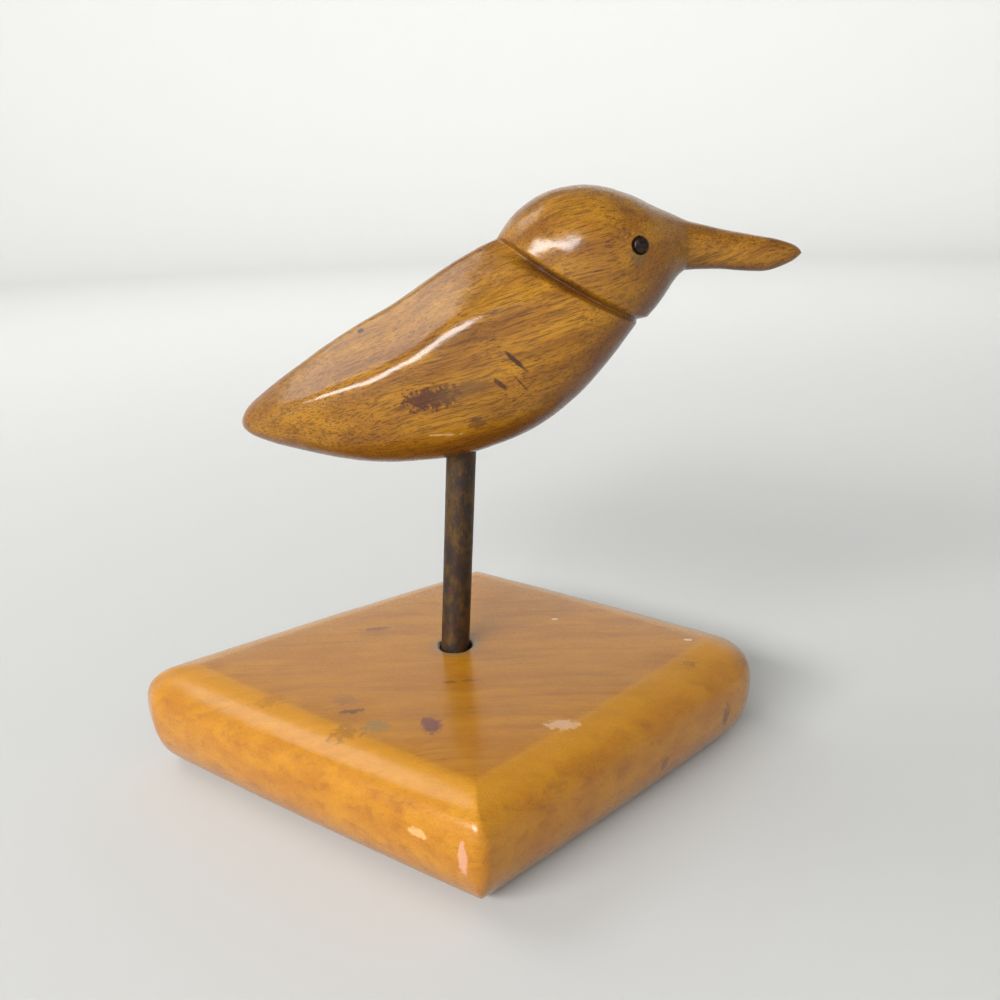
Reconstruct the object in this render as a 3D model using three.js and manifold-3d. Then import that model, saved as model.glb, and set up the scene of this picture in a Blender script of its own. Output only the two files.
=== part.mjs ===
// Carved wooden bird with a long beak, held over a rounded wooden block by a plain metal rod.
// Millimetres, +Z up. The origin is the middle of the block's underside, and the beak points along +X.
import * as THREE from 'three';
import { mergeVertices } from 'three/addons/utils/BufferGeometryUtils.js';
import Module from 'manifold-3d';

const wasm = await Module();
wasm.setup();

// Block: a four-cornered slab set cornerwise, with every edge worked round. A soft crease, inset by
// a length of its own at each corner, bounds its flat top. The first corner also has a flat cut.
const BASE_HEIGHT = 23.4;
const BASE_CORNERS = [
  { x: -73.7, y: -0.7, radius: 8, crease: 9.6 },
  { x: 7.2, y: -58.2, radius: 3.2, crease: 7.0 },
  { x: 74.7, y: 5.2, radius: 12, crease: 9.8 },
  { x: 5.3, y: 57.7, radius: 3.2, crease: 8.0 },
];
const NOSE_CORNER = 0;
const NOSE_CUT = 0.45;
const TIGHTEST_CORNER = 0.4;
const SIDE_BOW = 0.5;
const TOP_ROUND = { height: 8.6, turn: 60 * Math.PI / 180, fullness: 2.6 };
const BOTTOM_ROUND = { inset: 9.4, height: 12.6 };
const ROUND_STEPS = 6;
const CORNER_STEPS = 5;
const SIDE_STEPS = 6;

// Rod: round bar that leans a little towards the beak, glued into a blind hole at each end.
const ROD_RADIUS = 3.18;
const ROD_FOOT = { x: 1.2, y: 4.5 };
const ROD_LEAN = 4.1 * Math.PI / 180;
const ROD_SINK = 14;
const ROD_LENGTH = 72.5;
const ROD_CHAMFER = 0.5;
const ROD_SIDES = 28;
const HOLE_SLACK = 0.4;

// Bird: rows of its outline from the tail to the beak. Each row is a slice: its place on the back,
// its place on the belly line, half its width and, on the body, the height of the ridge where the
// planed flats meet and how far that ridge is eased. Heights and flats are in half heights and half
// widths of the slice.
const MIDDLE_Y = ROD_FOOT.y;
const BODY_ROWS = [
  { top: [-40.9, 77.4], bottom: [-40.5, 74.8], half: 1.6, ridge: 0.3, ease: 0.02 },
  { top: [-39.6, 79.6], bottom: [-38.2, 73.3], half: 4.2, ridge: 0.3, ease: 0.02 },
  { top: [-36.2, 82.6], bottom: [-33.5, 71.7], half: 7.0, ridge: 0.3, ease: 0.02 },
  { top: [-30.4, 86.7], bottom: [-25.5, 69.7], half: 10.0, ridge: 0.36, ease: 0.03 },
  { top: [-22.8, 91.7], bottom: [-15.0, 67.8], half: 12.7, ridge: 0.38, ease: 0.035 },
  { top: [-14.5, 96.6], bottom: [-4.6, 67.5], half: 14.4, ridge: 0.36, ease: 0.035 },
  { top: [-6.4, 101.0], bottom: [7.0, 68.9], half: 15.2, ridge: 0.43, ease: 0.035 },
  { top: [0.5, 105.5], bottom: [19.0, 73.2], half: 15.3, ridge: 0.48, ease: 0.04 },
  { top: [5.0, 108.1], bottom: [29.4, 80.5], half: 14.9, ridge: 0.44, ease: 0.06 },
  { top: [7.9, 109.6], bottom: [37.0, 89.2], half: 14.3, ridge: 0.38, ease: 0.09 },
  { top: [9.9, 110.6], bottom: [41.0, 94.5], half: 13.8, ridge: 0.34, ease: 0.12 },
];
const NECK_ROW = { top: [13.2, 112.0], bottom: [41.6, 95.1], half: 13.3, ridge: 0.34, ease: 0.12 };
const HEAD_ROWS = [
  { top: [13.5, 112.6], bottom: [43.2, 95.6], half: 13.4 },
  { top: [17.2, 117.0], bottom: [44.7, 97.3], half: 13.7 },
  { top: [23.6, 120.7], bottom: [46.1, 99.1], half: 13.4 },
  { top: [31.2, 121.6], bottom: [47.3, 100.9], half: 12.3 },
  { top: [38.4, 119.9], bottom: [48.3, 102.5], half: 10.4 },
  { top: [44.6, 117.1], bottom: [49.3, 103.7], half: 7.9 },
  { top: [50.0, 114.7], bottom: [50.4, 104.5], half: 5.2 },
];
const BEAK_ROWS = [
  { top: [50.8, 114.3], bottom: [51.0, 104.5], half: 5.0 },
  { top: [57.0, 112.7], bottom: [57.0, 104.5], half: 4.2 },
  { top: [63.0, 111.4], bottom: [62.8, 103.9], half: 3.6 },
  { top: [68.4, 110.3], bottom: [67.2, 103.9], half: 3.0 },
  { top: [72.2, 109.0], bottom: [71.5, 105.4], half: 2.0 },
  { top: [73.6, 107.9], bottom: [73.2, 106.5], half: 1.0 },
];
const TAIL_POLE = { x: -41.2, z: 76.1 };
const BEAK_POLE = { x: 74.0, z: 107.2 };
const BODY_STEPS = 3;
const HEAD_STEPS = 3;
const BEAK_STEPS = 2;
const ROOF_STEPS = 7;
const UNDER_STEPS = 14;
const RIDGE_HALF_ANGLE = 3.5 * Math.PI / 180;
const OVAL_RIDGE = 0.43;

// Flats planed along the body: one each side of the spine, one on each flank, and a narrow one on
// the ridge between them that widens and turns outwards at the shoulder.
const SPINE_HALF = 0.12;
const FLANK_REACH = 0.985;
const SHOULDER_TILT = 62 * Math.PI / 180;
const SHOULDER_TURN = 116 * Math.PI / 180;
const RIDGE_SHARPNESS = 60;
const OVAL_FULLNESS = 2.1;
const UPPER_FULLNESS = 3.2;
const LOWER_FULLNESS = 2.4;
const FLATS_START = 0.1;
const FLATS_FULL = 0.38;

// Neck groove: an undercut behind the head. It starts below the nape, is deepest on the upper
// flank, and is shallow at the throat. The head's edge sags a little on the flanks.
const GROOVE_DEPTH = 1.7;
const GROOVE_START = 18 * Math.PI / 180;
const GROOVE_FULL = 55 * Math.PI / 180;
const GROOVE_FADE = 85 * Math.PI / 180;
const GROOVE_THROAT_SHARE = 0.3;
const NECK_SAG = 0.7;

// Eyes: dark round nail heads set in drilled holes.
const EYE = { x: 40.1, z: 110.4, radius: 1.5, dome: 0.55, sink: 1.1 };
const EYE_SIDES = 20;
const EYE_DOME_STEPS = 4;
const EYE_SLACK = 0.3;
const DRILL_ABOVE = 2;
const CLEAR_OF_HEAD = 40;

const WELD = 1e-4;

const WOOD_DARK = new THREE.Color(0.34, 0.17, 0.04);
const WOOD_LIGHT = new THREE.Color(0.53, 0.27, 0.06);
const ROD_METAL = new THREE.Color(0.10, 0.07, 0.035);
const NAIL_METAL = new THREE.Color(0.05, 0.035, 0.03);

function mix(a, b, share) {
  return a + (b - a) * share;
}

function polar(x, y, radius, angle) {
  return [x + radius * Math.cos(angle), y + radius * Math.sin(angle)];
}

// A closed skin over rings of equal length, with a pole at each end.
function skin(rings, firstPole, lastPole) {
  const count = rings[0].length;
  const positions = [...firstPole, ...rings.flat(2), ...lastPole];
  const last = rings.length * count + 1;
  const faces = [];
  for (let k = 0; k < count; k += 1) {
    const next = (k + 1) % count;
    faces.push(0, 1 + next, 1 + k);
    for (let row = 0; row < rings.length - 1; row += 1) {
      const here = 1 + row * count;
      const above = here + count;
      faces.push(here + k, here + next, above + next);
      faces.push(here + k, above + next, above + k);
    }
    faces.push(last - count + k, last - count + next, last);
  }
  const geometry = new THREE.BufferGeometry();
  geometry.setAttribute('position', new THREE.Float32BufferAttribute(positions, 3));
  geometry.setIndex(faces);
  return geometry;
}

function toSolid(geometry) {
  const plain = geometry.clone();
  plain.deleteAttribute('normal');
  plain.deleteAttribute('uv');
  const merged = mergeVertices(plain, WELD);
  return new wasm.Manifold(new wasm.Mesh({
    numProp: 3,
    vertProperties: new Float32Array(merged.attributes.position.array),
    triVerts: new Uint32Array(merged.index.array),
  }));
}

function toGeometry(solid) {
  const mesh = solid.getMesh();
  const geometry = new THREE.BufferGeometry();
  geometry.setAttribute('position', new THREE.Float32BufferAttribute(mesh.vertProperties, 3));
  geometry.setIndex(Array.from(mesh.triVerts));
  geometry.computeVertexNormals();
  return geometry;
}

// One corner of the block, inset from its outer line: the arc between its two sides, flat from
// part of the way on at the corner with the cut.
function cornerArc(index, inset) {
  const count = BASE_CORNERS.length;
  const [before, corner, after] = [-1, 0, 1].map((step) => BASE_CORNERS[(index + step + count) % count]);
  const heading = Math.atan2(corner.y - before.y, corner.x - before.x);
  const turn = (Math.atan2(after.y - corner.y, after.x - corner.x) - heading + 4 * Math.PI) % (2 * Math.PI);
  const radius = Math.max(corner.radius - inset, TIGHTEST_CORNER);
  const toCentre = (radius + inset) / Math.cos(turn / 2);
  const [x, y] = polar(corner.x, corner.y, toCentre, heading + turn / 2 + Math.PI / 2);
  const arc = [];
  for (let k = 0; k <= CORNER_STEPS; k += 1) {
    arc.push(polar(x, y, radius, heading - Math.PI / 2 + turn * k / CORNER_STEPS));
  }
  const cutFrom = index === NOSE_CORNER ? Math.round(CORNER_STEPS * (1 - NOSE_CUT)) : CORNER_STEPS;
  return arc.map((point, k) => {
    const share = Math.max(k - cutFrom, 0) / (CORNER_STEPS - cutFrom || 1);
    return share ? arc[cutFrom].map((from, axis) => mix(from, arc[CORNER_STEPS][axis], share)) : point;
  });
}

// The block's outline with one inset for each corner, and slightly bowed sides between the arcs.
function baseOutline(insets) {
  const arcs = insets.map((inset, index) => cornerArc(index, inset));
  const outline = [];
  arcs.forEach((arc, index) => {
    const start = arc[arc.length - 1];
    const end = arcs[(index + 1) % arcs.length][0];
    const length = Math.hypot(end[0] - start[0], end[1] - start[1]);
    const out = [(end[1] - start[1]) / length, (start[0] - end[0]) / length];
    outline.push(...arc);
    for (let k = 1; k < SIDE_STEPS; k += 1) {
      const share = k / SIDE_STEPS;
      const bow = SIDE_BOW * 4 * share * (1 - share);
      outline.push([0, 1].map((axis) => mix(start[axis], end[axis], share) + out[axis] * bow));
    }
  });
  return outline;
}

// The block in one skin: a rounded under edge, then an upper edge that stops short of level, so
// that it meets the flat top in a crease.
function baseBlock() {
  const ring = (insets, z) => baseOutline(insets).map(([x, y]) => [x, y, z]);
  const rings = [];
  for (let k = 0; k <= ROUND_STEPS; k += 1) {
    const angle = Math.PI / 2 * k / ROUND_STEPS;
    const inset = BOTTOM_ROUND.inset * (1 - Math.sin(angle));
    rings.push(ring(BASE_CORNERS.map(() => inset), BOTTOM_ROUND.height * (1 - Math.cos(angle))));
  }
  const { height, turn, fullness } = TOP_ROUND;
  const curve = (value) => value ** (2 / fullness);
  for (let k = 0; k <= ROUND_STEPS; k += 1) {
    const angle = turn * k / ROUND_STEPS;
    const inward = (1 - curve(Math.cos(angle))) / (1 - curve(Math.cos(turn)));
    const rise = height * curve(Math.sin(angle)) / curve(Math.sin(turn));
    rings.push(ring(BASE_CORNERS.map(({ crease }) => crease * inward), BASE_HEIGHT - height + rise));
  }
  return skin(rings, [0, 0, 0], [0, 0, BASE_HEIGHT]);
}

// A round bar with chamfered ends that stands on z = 0.
function bar(radius, length, chamfer) {
  const profile = [
    new THREE.Vector2(0, 0),
    new THREE.Vector2(radius - chamfer, 0),
    new THREE.Vector2(radius, chamfer),
    new THREE.Vector2(radius, length - chamfer),
    new THREE.Vector2(radius - chamfer, length),
    new THREE.Vector2(0, length),
  ];
  return new THREE.LatheGeometry(profile, ROD_SIDES).rotateX(Math.PI / 2);
}

// Puts a bar that stands on z = 0 on the rod's axis, starting below the block's top.
function onRodAxis(geometry, below) {
  return geometry
    .translate(0, 0, -below)
    .rotateY(ROD_LEAN)
    .translate(ROD_FOOT.x, ROD_FOOT.y, BASE_HEIGHT);
}

function rodHole() {
  const drill = bar(ROD_RADIUS + HOLE_SLACK, ROD_LENGTH + 2 * HOLE_SLACK, ROD_CHAMFER);
  return toSolid(onRodAxis(drill, ROD_SINK + HOLE_SLACK));
}

// Smooth row between rows: a cubic through each pair, aimed by their neighbours.
function between(rows, place) {
  const index = Math.min(Math.floor(place), rows.length - 2);
  const t = place - index;
  const [a, b, c, d] = [-1, 0, 1, 2].map((step) => {
    const row = rows[Math.min(Math.max(index + step, 0), rows.length - 1)];
    return [...row.top, ...row.bottom, row.half, row.ridge ?? 0, row.ease ?? 0];
  });
  const [topX, topZ, bottomX, bottomZ, half, ridge, ease] = b.map((value, k) => {
    const leave = (c[k] - a[k]) / 2;
    const arrive = (d[k] - value) / 2;
    const rise = c[k] - value;
    const bend = 3 * rise - 2 * leave - arrive;
    const twist = leave + arrive - 2 * rise;
    return value + t * leave + t ** 2 * bend + t ** 3 * twist;
  });
  return { top: [topX, topZ], bottom: [bottomX, bottomZ], half, ridge, ease };
}

// How far an oval reaches at one angle from its top. A higher fullness is squarer.
function ovalReach(up, out, fullness) {
  return (Math.abs(up) ** fullness + out ** fullness) ** (-1 / fullness);
}

// How far a body slice reaches: a full oval cut by the roof, shoulder and flank flats.
function planedReach(up, out, row) {
  const roof = new THREE.Vector2(1 - row.ridge, FLANK_REACH - SPINE_HALF).normalize();
  const roofReach = roof.x * FLANK_REACH + roof.y * row.ridge;
  const tilt = SHOULDER_TILT + SHOULDER_TURN * row.ease;
  const shoulder = new THREE.Vector2(Math.sin(tilt), Math.cos(tilt));
  const shoulderReach = (shoulder.x * FLANK_REACH + shoulder.y * row.ridge) * (1 - row.ease);
  const cuts = [
    1 / ovalReach(up, out, up > 0 ? UPPER_FULLNESS : LOWER_FULLNESS),
    Math.max(roof.x * out + roof.y * up, 0) / roofReach,
    Math.max(shoulder.x * out + shoulder.y * up, 0) / shoulderReach,
    out / FLANK_REACH,
  ];
  const total = cuts.reduce((sum, cut) => sum + cut ** RIDGE_SHARPNESS, 0);
  return total ** (-1 / RIDGE_SHARPNESS);
}

// Angles all round a slice, from the back down one side and up the other, close set at the ridge.
function sliceAngles(ridge) {
  const corner = Math.atan2(FLANK_REACH, ridge);
  const half = [];
  for (let k = 0; k <= ROOF_STEPS; k += 1) {
    half.push((corner - RIDGE_HALF_ANGLE) * k / ROOF_STEPS);
  }
  for (let k = 0; k <= UNDER_STEPS; k += 1) {
    half.push(mix(corner + RIDGE_HALF_ANGLE, Math.PI, k / UNDER_STEPS));
  }
  const otherSide = half.slice(1, -1).reverse().map((angle) => 2 * Math.PI - angle);
  return [...half, ...otherSide];
}

// One slice of the bird. Flatness 0 leaves the plain oval. The groove cuts the flanks, and the sag
// carries them back along the body.
function slice(row, flatness, groove, sag) {
  const [spanX, spanZ] = [row.top[0] - row.bottom[0], row.top[1] - row.bottom[1]];
  const height = Math.hypot(spanX, spanZ) / 2;
  const whole = planedReach(1, 0, row);
  return sliceAngles(row.ridge || OVAL_RIDGE).map((angle) => {
    const up = Math.cos(angle);
    const out = Math.abs(Math.sin(angle));
    const planed = planedReach(up, out, row) / mix(1, whole, up > 0 ? up : 0);
    const size = mix(ovalReach(up, out, OVAL_FULLNESS), planed, flatness);
    const cut = groove * grooveShare(Math.acos(up));
    const sideways = Math.sin(angle) * size * (row.half - cut);
    const along = up * size * (1 - cut / height) / 2;
    const back = sag * out * out / (2 * height);
    return [
      (row.top[0] + row.bottom[0]) / 2 + along * spanX - back * spanZ,
      MIDDLE_Y - sideways,
      (row.top[1] + row.bottom[1]) / 2 + along * spanZ + back * spanX,
    ];
  });
}

// The groove's depth at one angle from the nape, as a share of its greatest depth.
function grooveShare(angle) {
  const start = THREE.MathUtils.smoothstep(angle, GROOVE_START, GROOVE_FULL);
  const fade = THREE.MathUtils.smoothstep(angle, GROOVE_FADE, Math.PI);
  return start * mix(1, GROOVE_THROAT_SHARE, fade);
}

function slices(rows, steps, flatnessAt, sagAt) {
  const rings = [];
  const count = (rows.length - 1) * steps;
  for (let k = 0; k <= count; k += 1) {
    const share = k / count;
    rings.push(slice(between(rows, k / steps), flatnessAt(share), 0, sagAt(share)));
  }
  return rings;
}

// The whole carving in one skin, tail to beak. The neck's slice is cut in to make the groove's
// floor, and the head starts in the same plane at its full size.
function birdSkin() {
  const planed = (share) => THREE.MathUtils.smoothstep(share, FLATS_START, FLATS_FULL);
  const plain = () => 0;
  const body = slices(BODY_ROWS, BODY_STEPS, planed, plain);
  const floor = slice(NECK_ROW, 1, GROOVE_DEPTH, NECK_SAG);
  const head = slices(HEAD_ROWS, HEAD_STEPS, plain, (share) => NECK_SAG * (1 - share) ** 4);
  const beak = slices(BEAK_ROWS, BEAK_STEPS, plain, plain);
  const tail = [TAIL_POLE.x, MIDDLE_Y, TAIL_POLE.z];
  const tip = [BEAK_POLE.x, MIDDLE_Y, BEAK_POLE.z];
  return skin([...body, floor, ...head, ...beak], tail, tip);
}

// Where a line across the bird meets its side, and the way the surface faces there.
function eyeSeat(carving, side) {
  const from = new THREE.Vector3(EYE.x, MIDDLE_Y + side * CLEAR_OF_HEAD, EYE.z);
  const ray = new THREE.Raycaster(from, new THREE.Vector3(0, -side, 0));
  const [hit] = ray.intersectObject(new THREE.Mesh(carving));
  const turn = new THREE.Quaternion().setFromUnitVectors(new THREE.Vector3(0, 1, 0), hit.face.normal);
  return { point: hit.point, turn };
}

function placeOnSeat(geometry, seat) {
  return geometry.applyQuaternion(seat.turn).translate(seat.point.x, seat.point.y, seat.point.z);
}

// A domed nail head with a short shank below the surface. Its axis is Y.
function nailHead() {
  const profile = [new THREE.Vector2(0, -EYE.sink), new THREE.Vector2(EYE.radius, -EYE.sink)];
  for (let k = 0; k < EYE_DOME_STEPS; k += 1) {
    const angle = Math.PI / 2 * k / EYE_DOME_STEPS;
    profile.push(new THREE.Vector2(EYE.radius * Math.cos(angle), EYE.dome * Math.sin(angle)));
  }
  profile.push(new THREE.Vector2(0, EYE.dome));
  return new THREE.LatheGeometry(profile, EYE_SIDES);
}

function eyeHole(seat) {
  const depth = EYE.sink + EYE_SLACK;
  const radius = EYE.radius + EYE_SLACK;
  const drill = new THREE.CylinderGeometry(radius, radius, depth + DRILL_ABOVE, EYE_SIDES);
  return toSolid(placeOnSeat(drill.translate(0, (DRILL_ABOVE - depth) / 2, 0), seat));
}

function named(name, geometry, color, roughness, metalness) {
  geometry.computeVertexNormals();
  const mesh = new THREE.Mesh(geometry, new THREE.MeshStandardMaterial({ color, roughness, metalness }));
  mesh.name = name;
  return mesh;
}

function figurine() {
  const carving = birdSkin();
  const seats = { eye_right: eyeSeat(carving, -1), eye_left: eyeSeat(carving, 1) };
  const hole = rodHole();
  const holes = [hole, eyeHole(seats.eye_right), eyeHole(seats.eye_left)];
  const bird = holes.reduce((solid, drilled) => solid.subtract(drilled), toSolid(carving));
  const base = toSolid(baseBlock()).subtract(hole);
  const rod = onRodAxis(bar(ROD_RADIUS, ROD_LENGTH, ROD_CHAMFER), ROD_SINK);
  const group = new THREE.Group();
  group.add(named('base', toGeometry(base), WOOD_LIGHT, 0.3, 0));
  group.add(named('rod', rod, ROD_METAL, 0.5, 0.8));
  group.add(named('bird', toGeometry(bird), WOOD_DARK, 0.3, 0));
  Object.entries(seats).forEach(([name, seat]) => {
    group.add(named(name, placeOnSeat(nailHead(), seat), NAIL_METAL, 0.35, 0.6));
  });
  return group;
}

export default figurine();
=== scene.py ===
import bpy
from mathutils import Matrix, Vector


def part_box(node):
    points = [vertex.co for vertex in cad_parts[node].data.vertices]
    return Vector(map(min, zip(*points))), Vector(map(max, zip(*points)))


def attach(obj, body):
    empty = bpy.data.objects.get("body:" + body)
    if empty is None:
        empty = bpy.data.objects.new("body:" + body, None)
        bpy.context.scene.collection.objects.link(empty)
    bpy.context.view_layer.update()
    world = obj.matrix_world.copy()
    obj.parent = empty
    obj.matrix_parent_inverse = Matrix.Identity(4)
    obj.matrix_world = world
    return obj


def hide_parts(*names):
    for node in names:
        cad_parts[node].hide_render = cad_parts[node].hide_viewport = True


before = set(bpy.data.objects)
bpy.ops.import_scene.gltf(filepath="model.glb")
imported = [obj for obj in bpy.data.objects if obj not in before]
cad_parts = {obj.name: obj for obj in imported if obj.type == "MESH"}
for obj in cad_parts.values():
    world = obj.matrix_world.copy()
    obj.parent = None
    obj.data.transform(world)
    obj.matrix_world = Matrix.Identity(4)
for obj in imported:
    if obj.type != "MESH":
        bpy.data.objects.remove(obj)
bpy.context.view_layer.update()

from math import acos, atan2, cos, hypot, pi, radians, sin

import bmesh
import bpy
from mathutils import Matrix, Vector, noise

MM = 0.001

# Studio: a pale floor that sweeps up into a low wall all round, a large soft light overhead and
# towards the camera, a small one for the gloss, and a dim pale surround.
FLOOR_RADIUS = 1.5
COVE_RADIUS = 0.5
WALL_TOP = 1.5
COVE_STEPS = 10

bpy.ops.object.select_all(action="DESELECT")
bpy.ops.mesh.primitive_circle_add(vertices=96, radius=FLOOR_RADIUS, fill_type="NGON")
floor = bpy.context.object
floor.name = "studio_floor"
bpy.ops.object.mode_set(mode="EDIT")
bpy.ops.mesh.select_all(action="DESELECT")
bpy.ops.mesh.select_mode(type="EDGE")
bpy.ops.mesh.select_all(action="SELECT")
bpy.ops.mesh.region_to_loop()
for step in range(COVE_STEPS):
    before = pi / 2 * step / COVE_STEPS
    after = pi / 2 * (step + 1) / COVE_STEPS
    reach = (FLOOR_RADIUS + COVE_RADIUS * sin(after)) / (FLOOR_RADIUS + COVE_RADIUS * sin(before))
    rise = COVE_RADIUS * (cos(before) - cos(after))
    bpy.ops.mesh.extrude_edges_move(TRANSFORM_OT_translate={"value": (0, 0, rise)})
    bpy.ops.transform.resize(value=(reach, reach, 1))
bpy.ops.mesh.extrude_edges_move(TRANSFORM_OT_translate={"value": (0, 0, WALL_TOP - COVE_RADIUS)})
bpy.ops.object.mode_set(mode="OBJECT")
bpy.ops.object.shade_smooth()

pale = bpy.data.materials.new("studio_paper")
pale.use_nodes = True
paper = pale.node_tree.nodes["Principled BSDF"]
paper.inputs["Base Color"].default_value = (0.56, 0.56, 0.545, 1)
paper.inputs["Roughness"].default_value = 0.9
floor.data.materials.append(pale)


def soft_light(name, place, aim, size, watts, tint=(1, 1, 1)):
    """A square or oblong softbox that faces a point."""
    bpy.ops.object.light_add(type="AREA", location=place)
    light = bpy.context.object
    light.name = name
    light.data.shape = "RECTANGLE"
    light.data.size, light.data.size_y = size
    light.data.energy = watts
    light.data.color = tint
    light.rotation_euler = (Vector(aim) - Vector(place)).to_track_quat("-Z", "Y").to_euler()
    light.visible_camera = False
    return light


soft_light("window_softbox", (-1.03, -1.47, 0.97), (0, 0, 0.09), (1.7, 0.40), 66)
soft_light("ceiling_softbox", (-0.63, 0.23, 0.83), (0, 0, 0.09), (0.50, 0.40), 2.4)
soft_light("backdrop_softbox", (0.0, 0.55, 1.2), (0, 2.0, 0.55), (1.6, 0.4), 22)
world = bpy.context.scene.world or bpy.data.worlds.new("surround")
bpy.context.scene.world = world
world.use_nodes = True
surround = world.node_tree.nodes["Background"]
surround.inputs["Color"].default_value = (0.90, 0.93, 0.95, 1)
surround.inputs["Strength"].default_value = 0.25
bpy.context.scene.view_settings.view_transform = "Standard"

# Camera: at the height of the bird, close to it, looking a little down and very slightly rolled.
CAMERA_PLACE = (12.3 * MM, -192.5 * MM, 121.5 * MM)
CAMERA_DOWN = radians(18)
CAMERA_ROLL = radians(-1.78)
CAMERA_LENS = 34.67

bpy.ops.object.camera_add()
camera = bpy.context.object
camera.name = "camera"
camera.data.lens = CAMERA_LENS
camera.data.clip_start = 0.01
level = Matrix.Rotation(pi / 2 - CAMERA_DOWN, 4, "X")
camera.matrix_world = Matrix.Translation(CAMERA_PLACE) @ level @ Matrix.Rotation(CAMERA_ROLL, 4, "Z")
bpy.context.scene.camera = camera

# Base: a thick block of honey-coloured wood set cornerwise. It was sawn nearly square, its edges
# were rasped round by hand, and it was lacquered. The rod is glued in a hole in its top.
BASE_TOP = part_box("base")[1].z
BASE_CORNERS = (
    (-73.7 * MM, -0.7 * MM, 8 * MM),
    (7.2 * MM, -58.2 * MM, 3.2 * MM),
    (74.7 * MM, 5.2 * MM, 12 * MM),
    (5.3 * MM, 57.7 * MM, 3.2 * MM),
)
CREASE_INSETS = (9.6 * MM, 7.0 * MM, 9.8 * MM, 8.0 * MM)
NOSE_CORNER = 0
NOSE_CUT = 0.45
SIDE_BOW = 0.5 * MM
TOP_DROP = 8.6 * MM
BOTTOM_INSET, BOTTOM_RISE = 9.4 * MM, 12.6 * MM
CREASE_TURN = radians(60)
TOP_FULLNESS = 2.6
CREASE_SOFTNESS = 0.25 * MM
BASE_LEVELS = 7
FACE_RINGS = (0.985, 0.95, 0.8, 0.5, 0.2)
ARC_STEPS = 6
SIDE_STEPS = 16
RASP_DEPTH = 0.30 * MM
BORE_RADIUS = 3.38 * MM
BORE_DEPTH = 14.2 * MM
RIM_RADIUS = 4.5 * MM
RIM_DEPTH = 1.1 * MM
RIM_RAG = 0.5 * MM
ROD_FOOT = Vector((1.2 * MM, 4.5 * MM, BASE_TOP))
ROD_LEAN = radians(4.1)


def lerp(a, b, share):
    return a + (b - a) * share


def smoothstep(value, low, high):
    share = min(max((value - low) / (high - low), 0), 1)
    return share * share * (3 - 2 * share)


def corner_arc(index, inset):
    """One rounded corner of the block's outline. The left corner also has a flat cut off it."""
    x, y, radius = BASE_CORNERS[index]
    before = BASE_CORNERS[index - 1]
    after = BASE_CORNERS[(index + 1) % len(BASE_CORNERS)]
    heading = atan2(y - before[1], x - before[0])
    turn = (atan2(after[1] - y, after[0] - x) - heading) % (2 * pi)
    tight = max(radius - inset, 0.4 * MM)
    away = heading + turn / 2 + pi / 2
    reach = (tight + inset) / cos(turn / 2)
    centre = Vector((x + cos(away) * reach, y + sin(away) * reach))
    angles = [heading - pi / 2 + turn * step / ARC_STEPS for step in range(ARC_STEPS + 1)]
    arc = [centre + tight * Vector((cos(angle), sin(angle))) for angle in angles]
    if index == NOSE_CORNER:
        first = round(ARC_STEPS * (1 - NOSE_CUT))
        for step in range(first + 1, ARC_STEPS):
            arc[step] = arc[first].lerp(arc[-1], (step - first) / (ARC_STEPS - first))
    return arc


def block_ring(insets, height, rasp=0.0, share=1.0):
    """The block's outline with one inset for each corner, and slightly bowed sides between them."""
    arcs = [corner_arc(index, inset) for index, inset in enumerate(insets)]
    ring = []
    for index, arc in enumerate(arcs):
        start = arc[-1]
        end = arcs[(index + 1) % len(arcs)][0]
        out = Vector((end.y - start.y, start.x - end.x)).normalized()
        ring += arc
        for step in range(1, SIDE_STEPS):
            along = step / SIDE_STEPS
            ring.append(start.lerp(end, along) + out * SIDE_BOW * 4 * along * (1 - along))
    return [(point.x * share, point.y * share, height, rasp, 0.0) for point in ring]


def extrude_through(name, rings, first_pole, last_pole, layers):
    """Starts with a filled circle and extrudes it from ring to ring, so that it ends closed."""
    bpy.ops.object.select_all(action="DESELECT")
    bpy.ops.mesh.primitive_circle_add(vertices=len(rings[0]), fill_type="TRIFAN")
    piece = bpy.context.object
    piece.name = name
    for layer in layers:
        piece.data.attributes.new(layer, "FLOAT", "POINT")
    around = [vertex for vertex in piece.data.vertices if vertex.co.length > 0.5]
    around.sort(key=lambda vertex: atan2(vertex.co.y, vertex.co.x) % (2 * pi))
    seats = piece.data.attributes.new("seat", "INT", "POINT")
    for seat, vertex in enumerate(around):
        seats.data[vertex.index].value = seat + 1
    bpy.ops.object.mode_set(mode="EDIT")
    for number, ring in enumerate(rings):
        if number:
            bpy.ops.mesh.extrude_region_move()
        shape = bmesh.from_edit_mesh(piece.data)
        seat = shape.verts.layers.int["seat"]
        values = [shape.verts.layers.float[layer] for layer in layers]
        pole = first_pole if number == 0 else last_pole
        for vertex in shape.verts:
            if vertex.select:
                point = ring[vertex[seat] - 1] if vertex[seat] else pole
                vertex.co = point[:3]
                for layer, value in zip(values, point[3:]):
                    vertex[layer] = value
        bmesh.update_edit_mesh(piece.data)
    bpy.ops.mesh.select_all(action="SELECT")
    bpy.ops.mesh.normals_make_consistent(inside=False)
    bpy.ops.object.mode_set(mode="OBJECT")
    piece.data.attributes.remove(piece.data.attributes["seat"])
    return piece


def finish_with(piece, kind, **settings):
    """Adds a modifier with its settings and applies it."""
    modifier = piece.modifiers.new(kind.title(), kind)
    for name, value in settings.items():
        setattr(modifier, name, value)
    bpy.ops.object.select_all(action="DESELECT")
    piece.select_set(True)
    bpy.context.view_layer.objects.active = piece
    bpy.ops.object.modifier_apply(modifier=modifier.name)


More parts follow.
